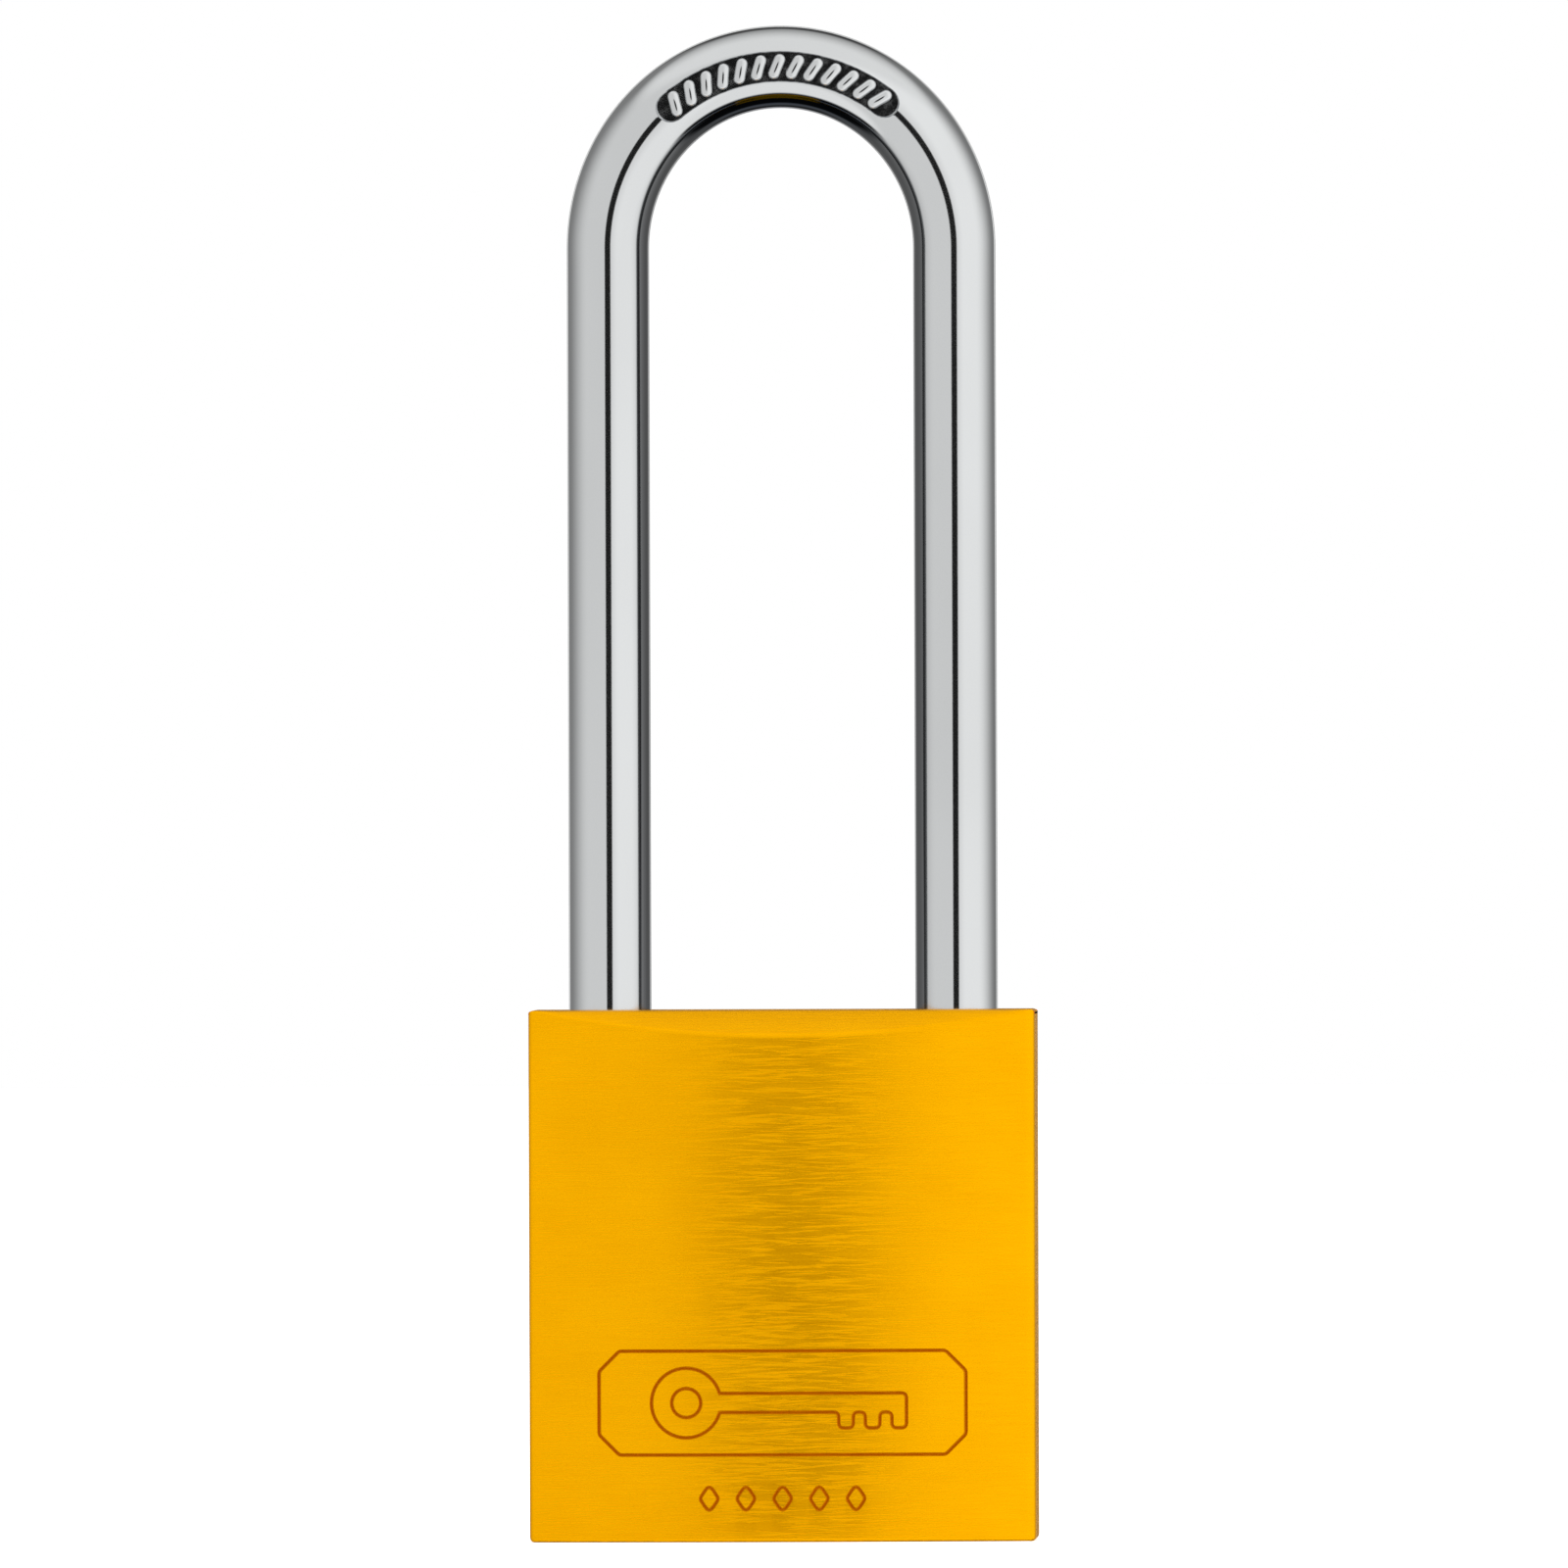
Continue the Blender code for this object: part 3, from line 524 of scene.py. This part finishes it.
def groove(name, outline, material):
    """Closed V-shaped ridge that follows an (x, z) outline on the front face, to cut a groove with."""
    bm = bmesh.new()
    loops = []
    outline = split_long(outline, GROOVE_STEP)
    count = len(outline)
    spread = GROOVE_HALF_WIDTH * (GROOVE_DEPTH + GROOVE_RISE) / GROOVE_DEPTH
    for i, (x, z) in enumerate(outline):
        before = Vector(outline[i - 1])
        after = Vector(outline[(i + 1) % count])
        here = Vector((x, z))
        to_here = (here - before).normalized()
        away = (after - here).normalized()
        along = (to_here + away).normalized()
        side = Vector((along.y, -along.x))
        widen = spread / max(0.5, along.dot(away))
        ring = []
        for offset, depth in ((-widen, GROOVE_RISE), (widen, GROOVE_RISE), (0.0, -GROOVE_DEPTH)):
            point = here + side * offset
            ring.append(bm.verts.new((point.x, -(face_y(here.x) + depth), point.y)))
        loops.append(ring)
    bridge(bm, loops, closed=True)
    return add_object(name, finish_mesh(name, bm), material)


def frame_outline():
    """Rectangle with clipped corners, as (x, z) points."""
    half_x, half_z = FRAME_SIZE[0] / 2, FRAME_SIZE[1] / 2
    quarter = [(half_x, half_z - FRAME_CLIP), (half_x - FRAME_CLIP, half_z)]
    upper = quarter + [(-x, z) for x, z in reversed(quarter)]
    corners = upper + [(-x, -z) for x, z in upper]
    outline = round_corners(corners, [FRAME_CORNER] * len(corners), 3)
    return [(x, z + FRAME_CENTRE_Z) for x, z in outline]


def key_outlines():
    """Plain key sign: round bow with a hole, and a blade with three square cuts."""
    bow_x, bow_radius, hole_radius = -7.6 * MM, 2.75 * MM, 1.15 * MM
    half_blade, tip_x = 0.75 * MM, 9.8 * MM
    start = math.asin(half_blade / bow_radius)
    bow = arc((bow_x, 0), bow_radius, start, 2 * math.pi - start, 40)
    tooth, gap, depth = 1.15 * MM, 0.95 * MM, 1.25 * MM
    blade = []
    for k in (3, 2, 1):
        left = tip_x - k * tooth - (k - 1) * gap
        blade += [(left, -half_blade), (left, -half_blade - depth), (left + tooth, -half_blade - depth)]
        if k > 1:
            blade.append((left + tooth, -half_blade))
    blade.append((tip_x, half_blade))
    outside = round_corners(bow + blade, [0] * len(bow) + [MARK_CORNER] * len(blade), 4)
    hole = circle(hole_radius, 28, (bow_x, 0))
    return [[(x, z + FRAME_CENTRE_Z) for x, z in part] for part in (outside, hole)]


def lozenge_outline(centre_x):
    half_x, half_z = LOZENGE_HALF
    corners = [(half_x, 0), (0, half_z), (-half_x, 0), (0, -half_z)]
    outline = round_corners(corners, [MARK_CORNER] * 4, 4)
    return [(x + centre_x, z + LOZENGE_Z) for x, z in outline]


def make_body(material, engraved):
    body = add_object("body_case", body_mesh(), material)
    apply_boolean(body, bore_cutter("heel_bore", -LEG_X, HEEL_FLOOR_Z))
    apply_boolean(body, bore_cutter("toe_bore", LEG_X, TOE_FLOOR_Z))
    pear = pear_outline(CAVITY_GAP)
    mouth = pear_outline(CAVITY_GAP + BORE_CHAMFER)
    levels = [(mouth, -MM), (mouth, 0.0), (pear, BORE_CHAMFER), (pear, CAVITY_TOP_Z)]
    apply_boolean(body, add_object("cavity", lofted("cavity", levels)))
    profile = [(BALL_CHANNEL_RADIUS, -LEG_X), (BALL_CHANNEL_RADIUS, LEG_X)]
    channel = add_object("channel", turned("channel", profile, 40))
    channel.data.transform(Matrix.Translation((0, 0, BALL_Z)) @ Matrix.Rotation(math.pi / 2, 4, "Y"))
    apply_boolean(body, channel)
    marks = [frame_outline()] + key_outlines()
    first = -(LOZENGE_COUNT - 1) / 2 * LOZENGE_PITCH
    marks += [lozenge_outline(first + i * LOZENGE_PITCH) for i in range(LOZENGE_COUNT)]
    # The groove walls take the engraved material: a darker yellow, painted shade.
    for number, outline in enumerate(marks):
        apply_boolean(body, groove(f"groove_{number}", outline, engraved))
    shade(body, BODY_SHARP_ANGLE)
    for face in body.data.polygons:
        face.use_smooth = face.area < FLAT_FACE_AREA
    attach(body, "lock_body_group")
    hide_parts("lock_body")


# ---------------------------------------------------------------- shackle


def crown_point(angle, offset=0.0):
    """Point beside the half ellipse of the crown; angle runs from the toe side to the heel side."""
    x = LEG_X * math.cos(angle)
    z = CROWN_RISE * math.sin(angle)
    outward = Vector((x / LEG_X ** 2, 0, z / CROWN_RISE ** 2)).normalized()
    return Vector((x, 0, SPRING_LINE_Z + z)) + outward * offset


def leg_end(end_z):
    """(height, radius) of the rounded lower end of a leg, going up."""
    steps = [math.pi / 2 * i / ROUND_STEPS for i in range(ROUND_STEPS + 1)]
    r = END_RADIUS
    return [(end_z + r * (1 - math.cos(t)), WIRE_RADIUS - r * (1 - math.sin(t))) for t in steps]


def shackle_mesh():
    up = Vector((0, 0, 1))
    toe = leg_end(TOE_END_Z) + [(TOE_END_Z + END_RADIUS + END_SUPPORT, WIRE_RADIUS)]
    stations = [(Vector((LEG_X, 0, z)), up, r) for z, r in toe]
    for i in range(CROWN_STEPS + 1):
        angle = math.pi * i / CROWN_STEPS
        along = Vector((-LEG_X * math.sin(angle), 0, CROWN_RISE * math.cos(angle))).normalized()
        stations.append((crown_point(angle), along, WIRE_RADIUS))
    neck_low, neck_high = NECK_Z
    step = NECK_CHAMFER
    heel = [
        (neck_high + 2 * step + END_SUPPORT, WIRE_RADIUS),
        (neck_high + 2 * step, WIRE_RADIUS), (neck_high + step, WIRE_RADIUS - step),
        (neck_high, NECK_RADIUS + step), (neck_high - step, NECK_RADIUS),
        (neck_low + step, NECK_RADIUS), (neck_low, NECK_RADIUS + step),
        (neck_low, WIRE_RADIUS - step), (neck_low - step, WIRE_RADIUS),
    ]
    heel += reversed(leg_end(HEEL_END_Z))
    stations += [(Vector((-LEG_X, 0, z)), -up, r) for z, r in heel]
    bm = bmesh.new()
    across = Vector((0, 1, 0))
    loops = []
    for centre, along, radius in stations:
        side = along.cross(across)
        loops.append([bm.verts.new(centre + side * x + across * y) for x, y in circle(radius, WIRE_SIDES)])
    bridge(bm, loops)
    bm.faces.new(loops[0])
    bm.faces.new(loops[-1])
    return finish_mesh("shackle_bar", bm)


def band_outline(half_width, steps, round_steps):
    """Band along the crown's centre line with half-round ends, as (x, z) points."""
    low, high = RECESS_ANGLES
    angles = [low + (high - low) * i / steps for i in range(steps + 1)]
    outer = [crown_point(a, half_width) for a in angles]
    inner = [crown_point(a, -half_width) for a in reversed(angles)]
    points = outer.copy()
    for angle, arm, rest in ((high, outer[-1], inner), (low, inner[-1], [])):
        centre = crown_point(angle)
        for k in range(1, round_steps):
            turn = Matrix.Rotation(-math.pi * k / round_steps, 3, "Y")
            points.append(centre + turn @ (arm - centre))
        points += rest
    return [(p.x, p.z) for p in points]


def make_shackle(metal, stamped_and_painted_shade):
    shackle = add_object("shackle_bar", shackle_mesh(), metal)
    for side in (-1, 1):
        bm = bmesh.new()
        bmesh.ops.create_uvsphere(bm, u_segments=48, v_segments=24, radius=NOTCH_RADIUS)
        bmesh.ops.translate(bm, verts=bm.verts, vec=(side * NOTCH_X, 0, BALL_Z))
        notch = add_object("notch", finish_mesh("notch", bm), metal)
        apply_boolean(shackle, notch)
    floor = band_outline(RECESS_HALF_WIDTH - RECESS_DRAFT, *BAND_STEPS)
    mouth = band_outline(RECESS_HALF_WIDTH + RECESS_DRAFT, *BAND_STEPS)
    depth = WIRE_RADIUS - RECESS_DEPTH
    recess = add_object("recess", lofted("recess", [(floor, depth), (mouth, WIRE_RADIUS + 0.1 * MM)]), stamped_and_painted_shade)
    recess.data.transform(Matrix.Rotation(math.pi / 2, 4, "X"))
    apply_boolean(shackle, recess)
    shade(shackle)
    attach(shackle, "shackle_group")
    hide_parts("shackle")


def make_crown_bars(metal):
    """Row of plain raised bars standing in the recess, each a rounded pill across the band."""
    bm = bmesh.new()
    floor_y = WIRE_RADIUS - RECESS_DEPTH
    first = RECESS_ANGLES[0] + BAR_MARGIN
    sweep = RECESS_ANGLES[1] - BAR_MARGIN - first
    levels = [(0.0, -0.05 * MM)]
    for step in range(BAR_ROUND_STEPS):
        turn = math.pi / 2 * step / BAR_ROUND_STEPS
        levels.append((BAR_HALF_WIDTH * (1 - math.cos(turn)), BAR_HEIGHT * (0.3 + 0.7 * math.sin(turn))))
    for i in range(BAR_COUNT):
        angle = first + sweep * i / (BAR_COUNT - 1)
        centre = crown_point(angle)
        radial = (crown_point(angle, MM) - centre).normalized()
        outward = Matrix.Rotation(BAR_SLANT, 3, "Y") @ radial
        along = Vector((outward.z, 0, -outward.x))
        loops = []
        for inset, rise in levels:
            radius = BAR_HALF_WIDTH - inset
            reach = BAR_HALF_LENGTH - BAR_HALF_WIDTH
            pill = arc((0, reach), radius, 0, math.pi, 8) + arc((0, -reach), radius, math.pi, 2 * math.pi, 8)
            ring = []
            for u, v in pill:
                point = centre + along * u + outward * v
                ring.append(bm.verts.new((point.x, -(floor_y + rise), point.z)))
            loops.append(ring)
        bridge(bm, loops)
        bm.faces.new(loops[0])
        bm.faces.new(loops[-1])
    bars = add_object("crown_bars", finish_mesh("crown_bars", bm, BAR_SHARP_ANGLE), metal)
    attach(bars, "shackle_group")


# ---------------------------------------------------------------- cylinder


def keyway_outline():
    """Warded slot: two halves of the blade stepped sideways around a centre rib."""
    corners = [
        (-1.15, -4.7), (0.55, -4.7), (0.55, -2.6), (1.15, -2.2), (1.15, -0.4), (0.6, 0.0), (0.6, 3.4),
        (-0.6, 3.4), (-0.6, -1.0), (-0.15, -1.4), (-0.15, -2.4), (-1.15, -3.0),
    ]
    return round_corners([(x * MM, y * MM) for x, y in corners], [0.12 * MM] * len(corners), 3)


def make_shell(material):
    low, high = SHELL_LOW.z, SHELL_TOP_Z
    edge = 0.15 * MM
    levels = [(pear_outline(-edge), low), (pear_outline(0), low + edge), (pear_outline(0), high)]
    shell = add_object("shell_case", lofted("shell_case", levels), material)
    r = PLUG_HEAD_RADIUS + CAVITY_GAP
    bore = [(r + edge, low - MM), (r + edge, low), (r, low + edge), (r, PLUG_HEAD_TOP_Z + CAVITY_GAP)]
    bore += [(PLUG_RADIUS + CAVITY_GAP, PLUG_HEAD_TOP_Z + CAVITY_GAP), (PLUG_RADIUS + CAVITY_GAP, high + MM)]
    apply_boolean(shell, add_object("bore", turned("bore", bore, CYLINDER_SIDES)))
    shade(shell)
    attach(shell, "lock_body_group")
    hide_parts("cylinder_shell")


def make_plug(material):
    low = PLUG_LOW.z
    edge = 0.2 * MM
    r = PLUG_HEAD_RADIUS
    profile = [
        (r - 1.5 * edge, low), (r - 0.4 * edge, low + 0.4 * edge), (r, low + 1.5 * edge),
        (r, PLUG_HEAD_TOP_Z), (PLUG_RADIUS, PLUG_HEAD_TOP_Z), (PLUG_RADIUS, PLUG_TOP_Z),
    ]
    plug = add_object("plug_case", turned("plug_case", profile, CYLINDER_SIDES), material)
    half_x, half_y = TANG_HALF
    corners = [(half_x, -half_y), (half_x, half_y), (-half_x, half_y), (-half_x, -half_y)]
    tang = round_corners(corners, [0.3 * MM] * 4, 3)
    tang_solid = lofted("tang", [(tang, PLUG_TOP_Z - MM), (tang, PLUG_HIGH.z)])
    apply_boolean(plug, add_object("tang", tang_solid, material), "UNION")
    ring_profile = [(RING_RADIUS, low - MM), (RING_RADIUS, low + RING_DEPTH)]
    ring_outer = add_object("ring", turned("ring", ring_profile, CYLINDER_SIDES), material)
    core_profile = [(RING_RADIUS - RING_WIDTH, low - 2 * MM), (RING_RADIUS - RING_WIDTH, low + MM)]
    core = add_object("core", turned("core", core_profile, CYLINDER_SIDES), material)
    apply_boolean(ring_outer, core)
    apply_boolean(plug, ring_outer)
    outline = keyway_outline()
    slot = lofted("keyway", [(outline, low - MM), (outline, KEYWAY_TOP_Z)])
    apply_boolean(plug, add_object("keyway", slot, material))
    shade(plug)
    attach(plug, "plug_group")
    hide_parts("cylinder_plug")


# ---------------------------------------------------------------- studio


def make_floor():
    """Pale floor, seen from above only, so that the underside can be looked at too."""
    half = FLOOR_HALF_SIZE
    corners = ((-half, -half), (half, -half), (half, half), (-half, half))
    bm = bmesh.new()
    bm.faces.new([bm.verts.new((x, y, 0)) for x, y in corners])
    material, shader, n = new_material("pale floor", 0.0)
    shader.inputs["Base Color"].default_value = (0.9, 0.9, 0.9, 1.0)
    shader.inputs["Roughness"].default_value = 0.8
    shader.inputs["Emission Color"].default_value = (1, 1, 1, 1)
    shader.inputs["Emission Strength"].default_value = 0.55
    clear = n.add("ShaderNodeBsdfTransparent")
    side = n.add("ShaderNodeNewGeometry")
    mix = n.add("ShaderNodeMixShader")
    n.link(side.outputs["Backfacing"], mix.inputs[0])
    n.link(shader.outputs[0], mix.inputs[1])
    n.link(clear.outputs[0], mix.inputs[2])
    n.link(mix.outputs[0], material.node_tree.nodes["Material Output"].inputs["Surface"])
    floor = add_object("floor", finish_mesh("floor", bm), material)
    floor.visible_glossy = False


def make_world():
    """Soft panels left, right and above, which fade behind the object; a dark patch at the camera and one
    straight below. A ray from the camera sees plain white instead."""
    world = bpy.data.worlds.new("studio")
    bpy.context.scene.world = world
    world.use_nodes = True
    n = Nodes(world.node_tree)
    background = world.node_tree.nodes["Background"]
    where = n.add("ShaderNodeTexCoord")
    split = n.add("ShaderNodeSeparateXYZ")
    n.link(where.outputs["Generated"], split.inputs[0])
    x, y, z = split.outputs
    front = n.math("MULTIPLY", y, -1.0)
    degrees = 180 / math.pi
    azimuth = n.math("MULTIPLY", n.math("ARCTAN2", x, front), degrees)
    elevation = n.math("MULTIPLY", n.math("ARCSINE", z), degrees)
    turned_away = n.math("MULTIPLY", n.math("ARCCOSINE", front), degrees)
    # The panels on both sides, which meet above and below the camera.
    left = n.ramp(azimuth, -138, -58, 0.28, LEFT_PANEL)
    left = n.math("MULTIPLY", left, n.ramp(azimuth, -168, -152, 0.2, 1.0))
    right = n.ramp(azimuth, 64, 140, RIGHT_PANEL, 0.25)
    right = n.math("MULTIPLY", right, n.ramp(azimuth, 152, 168, 1.0, 0.2))
    right = n.math("MULTIPLY", right, n.ramp(azimuth, 4, 28, 0.84, 1.0))
    level = blend(n, n.ramp(azimuth, -6, 6), left, right)
    # The panel above.
    overhead = n.ramp(turned_away, 82, 148, TOP_PANEL, 0.28)
    level = blend(n, n.ramp(elevation, 38, 52), level, overhead)
    # Below: bright in front, dark straight down, grey behind.
    ahead = n.ramp(turned_away, 76, 83, FRONT_FLOOR, 0.0)
    behind = n.ramp(turned_away, 118, 126, GAP_LEVEL, REAR_FLOOR)
    level = blend(n, n.ramp(elevation, -50, -38, 1.0, 0.0), level, n.math("ADD", ahead, behind))
    # The dark patch round the camera.
    level = blend(n, n.ramp(turned_away, 6.8, 9.4), GAP_LEVEL, level)
    # A panel for the far side, behind the object.
    rear = n.ramp(turned_away, 150, 156, 0.0, REAR_PANEL)
    rear = n.math("MULTIPLY", rear, n.ramp(turned_away, 165, 170, 1.0, 0.0))
    level = n.math("ADD", level, rear)
    path = n.add("ShaderNodeLightPath")
    n.link(n.math("MAXIMUM", level, path.outputs["Is Camera Ray"]), background.inputs["Strength"])
    background.inputs["Color"].default_value = (1, 1, 1, 1)


def blend(n, share, a, b):
    """Mix two numbers: a where share is 0, b where share is 1."""
    return n.math("ADD", n.math("MULTIPLY", a, n.math("SUBTRACT", 1.0, share)), n.math("MULTIPLY", b, share))


def add_area(name, position, target, size, energy):
    light = bpy.data.lights.new(name, "AREA")
    light.shape = "RECTANGLE"
    light.size, light.size_y = size
    light.energy = energy
    item = bpy.data.objects.new(name, light)
    item.location = position
    item.rotation_euler = (Vector(target) - Vector(position)).to_track_quat("-Z", "Y").to_euler()
    item.visible_glossy = False
    bpy.context.scene.collection.objects.link(item)


def make_lights():
    middle = (0, 0, 0.05)
    add_area("key_left", (-0.55, -0.85, 0.55), middle, (0.7, 0.9), 2.3)
    add_area("key_right", (0.6, -0.85, 0.5), middle, (0.7, 0.9), 1.2)
    add_area("overhead", (0, 0.1, 1.1), middle, (1.2, 1.2), 2.0)
    add_area("rear", (0.2, 1.1, 0.6), middle, (1.2, 0.9), 3.0)


def make_camera():
    data = bpy.data.cameras.new("camera")
    data.sensor_width = SENSOR_WIDTH
    data.lens = SENSOR_WIDTH * CAMERA_DISTANCE / VIEW_WIDTH
    data.clip_start = 0.05
    data.clip_end = 60
    camera = bpy.data.objects.new("camera", data)
    away = Vector((math.sin(CAMERA_YAW), -math.cos(CAMERA_YAW), 0))
    sideways = Vector((math.cos(CAMERA_YAW), math.sin(CAMERA_YAW), 0))
    aim = sideways * CAMERA_SIDE + Vector((0, 0, CAMERA_HEIGHT))
    camera.location = aim + away * CAMERA_DISTANCE
    look = (-away).to_track_quat("-Z", "Y").to_matrix()
    camera.rotation_euler = (look @ Matrix.Rotation(-CAMERA_ROLL, 3, "Z")).to_euler()
    bpy.context.scene.collection.objects.link(camera)
    bpy.context.scene.camera = camera


# ---------------------------------------------------------------- put together

make_camera()
make_world()
make_lights()
make_floor()
bpy.context.scene.view_settings.view_transform = "Standard"

yellow = anodised_yellow("anodised yellow")
bright = chrome()
nickel = worked_metal("satin nickel", (0.50, 0.47, 0.42), (0.66, 0.63, 0.57), 0.30, 260.0)
steel = worked_metal("ground steel", (0.30, 0.31, 0.32), (0.50, 0.51, 0.53), 0.28)
wire = worked_metal("drawn wire", (0.20, 0.21, 0.22), (0.38, 0.39, 0.41), 0.33)
brass = worked_metal("turned brass", (0.62, 0.42, 0.14), (0.80, 0.58, 0.24), 0.28)
polished = worked_metal("bearing steel", (0.66, 0.67, 0.68), (0.78, 0.79, 0.80), 0.10)

# The groove walls get a darker copy of the yellow: painted shade in the engraving.
make_body(yellow, anodised_yellow("anodised yellow with painted groove shade", 0.62))
make_shackle(bright, stamped_chrome())
make_crown_bars(bright)
make_shell(nickel)
make_plug(nickel)

FINISHES = {
    "hard_steel": steel, "bearing_steel": polished, "spring_steel": wire, "driver_nickel": nickel,
    "pin_brass": brass, "brass_strip": brass, "nickel_plated_brass": nickel, "plug_brass": nickel,
    "anodised_body": yellow, "chromed_shackle": bright,
}
for part in frame["record"]["subparts"]:
    node = frame["nodes"][part["node"]]
    for slot in node.material_slots:
        slot.material = FINISHES[part["material_slot"]]
